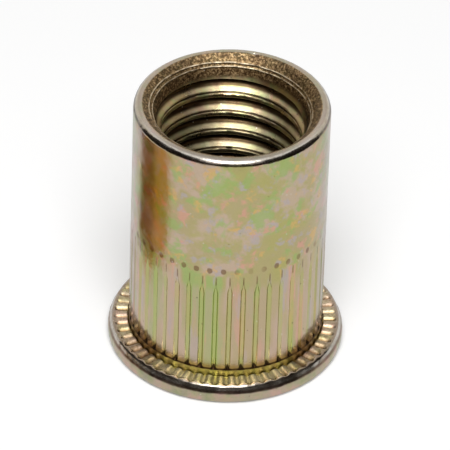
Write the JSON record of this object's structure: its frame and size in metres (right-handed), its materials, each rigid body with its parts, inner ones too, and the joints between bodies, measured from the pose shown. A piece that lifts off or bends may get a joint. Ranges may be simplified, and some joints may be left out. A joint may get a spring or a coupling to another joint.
{
  "type": "rivet nut",
  "caption": "Flanged cylindrical rivet nut with a knurled shank, a serrated flange and a tapped through hole.",
  "frame": {"origin": "centre of the flange's outer face, on the nut's axis", "axes": "+Z along the axis from the flange towards the tapped end"},
  "size_m": [0.0182, 0.0182, 0.0218],
  "materials": {
    "zinc_chromate_steel": "yellow zinc chromate plating on steel, satin, with green and pink tints"
  },
  "bodies": {
    "root": {"rivet_nut": "zinc_chromate_steel"}
  },
  "joints": []
}
